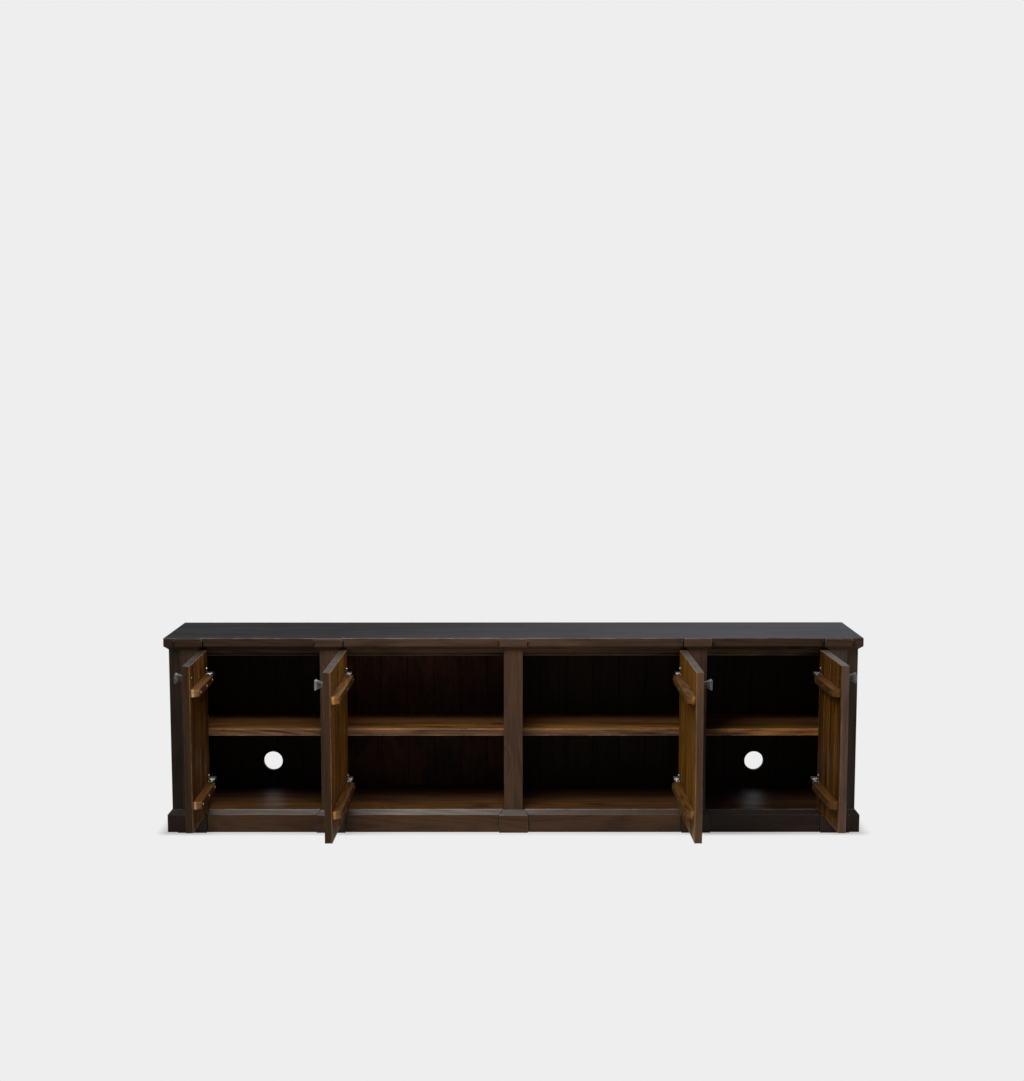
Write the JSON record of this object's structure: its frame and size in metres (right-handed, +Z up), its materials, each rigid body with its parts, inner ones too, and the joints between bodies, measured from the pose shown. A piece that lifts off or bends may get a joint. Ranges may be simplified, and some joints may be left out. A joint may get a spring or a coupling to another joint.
{
  "type": "media console",
  "caption": "Long low wooden cabinet: moulded top and plinth, pilasters, shelved bays with cable holes in the back, and plank doors on concealed hinges.",
  "frame": {"origin": "on the floor, under the middle of the cabinet's body, at the underside of the plinth's middle bearer", "axes": "+X to the right as seen from the front, +Y to the back, +Z up"},
  "size_m": [2.44, 1.0263, 0.69],
  "materials": {
    "top_wood": "near-black brown stain with a soft sheen",
    "body_wood": "dark espresso stain, satin, worn at the arrises",
    "inside_wood": "dark reddish-brown stain, satin",
    "door_wood": "mid brown stain over open grain, satin",
    "batten_wood": "lighter brown stain, satin",
    "knob_metal": "dark pewter-like plating, rubbed at the edges",
    "hinge_metal": "nickel-plated pressed steel"
  },
  "bodies": {
    "cabinet": {"top_board": "top_wood", "cornice_board": "body_wood", "plinth": "body_wood", "deck": "inside_wood", "pilaster_1": "body_wood", "pilaster_2": "body_wood", "pilaster_3": "body_wood", "pilaster_4": "body_wood", "pilaster_5": "body_wood", "end_panel_left": "body_wood", "end_panel_right": "body_wood", "partition_1": "inside_wood", "partition_2": "inside_wood", "partition_3": "inside_wood", "back_panel": "inside_wood", "top_rail": "body_wood", "shelf_1": "inside_wood", "shelf_2": "inside_wood", "shelf_3": "inside_wood", "shelf_4": "inside_wood", "hinge_1_top_arm": "hinge_metal", "hinge_1_bottom_arm": "hinge_metal", "hinge_2_top_arm": "hinge_metal", "hinge_2_bottom_arm": "hinge_metal", "hinge_3_top_arm": "hinge_metal", "hinge_3_bottom_arm": "hinge_metal", "hinge_4_top_arm": "hinge_metal", "hinge_4_bottom_arm": "hinge_metal"},
    "door_1": {"door_1_panel": "door_wood", "door_1_batten_top": "batten_wood", "door_1_batten_bottom": "batten_wood", "door_1_knob": "knob_metal", "hinge_1_top_cup": "hinge_metal", "hinge_1_bottom_cup": "hinge_metal"},
    "door_2": {"door_2_panel": "door_wood", "door_2_batten_top": "batten_wood", "door_2_batten_bottom": "batten_wood", "door_2_knob": "knob_metal", "hinge_2_top_cup": "hinge_metal", "hinge_2_bottom_cup": "hinge_metal"},
    "door_3": {"door_3_panel": "door_wood", "door_3_batten_top": "batten_wood", "door_3_batten_bottom": "batten_wood", "door_3_knob": "knob_metal", "hinge_3_top_cup": "hinge_metal", "hinge_3_bottom_cup": "hinge_metal"},
    "door_4": {"door_4_panel": "door_wood", "door_4_batten_top": "batten_wood", "door_4_batten_bottom": "batten_wood", "door_4_knob": "knob_metal", "hinge_4_top_cup": "hinge_metal", "hinge_4_bottom_cup": "hinge_metal"},
    "links_1": {"hinge_1_top_link": "hinge_metal", "hinge_1_bottom_link": "hinge_metal"},
    "links_2": {"hinge_2_top_link": "hinge_metal", "hinge_2_bottom_link": "hinge_metal"},
    "links_3": {"hinge_3_top_link": "hinge_metal", "hinge_3_bottom_link": "hinge_metal"},
    "links_4": {"hinge_4_top_link": "hinge_metal", "hinge_4_bottom_link": "hinge_metal"}
  },
  "joints": [
    {"name": "door_1_swing", "type": "hinge", "parent": "cabinet", "child": "door_1", "pos_m": [-1.096, -0.2125, 0.365], "axis": [0, 0, -1], "range_deg": [-89.4, 10.6]},
    {"name": "door_2_swing", "type": "hinge", "parent": "cabinet", "child": "door_2", "pos_m": [-0.607, -0.2125, 0.365], "axis": [0, 0, -1], "range_deg": [-90.7, 9.3]},
    {"name": "door_3_swing", "type": "hinge", "parent": "cabinet", "child": "door_3", "pos_m": [0.607, -0.2125, 0.365], "axis": [0, 0, 1], "range_deg": [-90.8, 9.2]},
    {"name": "door_4_swing", "type": "hinge", "parent": "cabinet", "child": "door_4", "pos_m": [1.096, -0.2125, 0.365], "axis": [0, 0, 1], "range_deg": [-91.6, 8.4]},
    {"name": "links_1_turn", "type": "hinge", "parent": "door_1", "child": "links_1", "pos_m": [-1.06562, -0.22018, 0.3625], "axis": [0, 0, -1], "range_deg": [-10.6, 89.4]},
    {"name": "links_2_turn", "type": "hinge", "parent": "door_2", "child": "links_2", "pos_m": [-0.5768, -0.22087, 0.3625], "axis": [0, 0, -1], "range_deg": [-9.3, 90.7]},
    {"name": "links_3_turn", "type": "hinge", "parent": "door_3", "child": "links_3", "pos_m": [0.57681, -0.22092, 0.3625], "axis": [0, 0, 1], "range_deg": [-9.2, 90.8]},
    {"name": "links_4_turn", "type": "hinge", "parent": "door_4", "child": "links_4", "pos_m": [1.06594, -0.22134, 0.3625], "axis": [0, 0, 1], "range_deg": [-8.4, 91.6]}
  ],
  "couplings": [
    {"joint": "links_1_turn", "follows": "door_1_swing", "ratio": -1},
    {"joint": "links_2_turn", "follows": "door_2_swing", "ratio": -1},
    {"joint": "links_3_turn", "follows": "door_3_swing", "ratio": -1},
    {"joint": "links_4_turn", "follows": "door_4_swing", "ratio": -1}
  ]
}
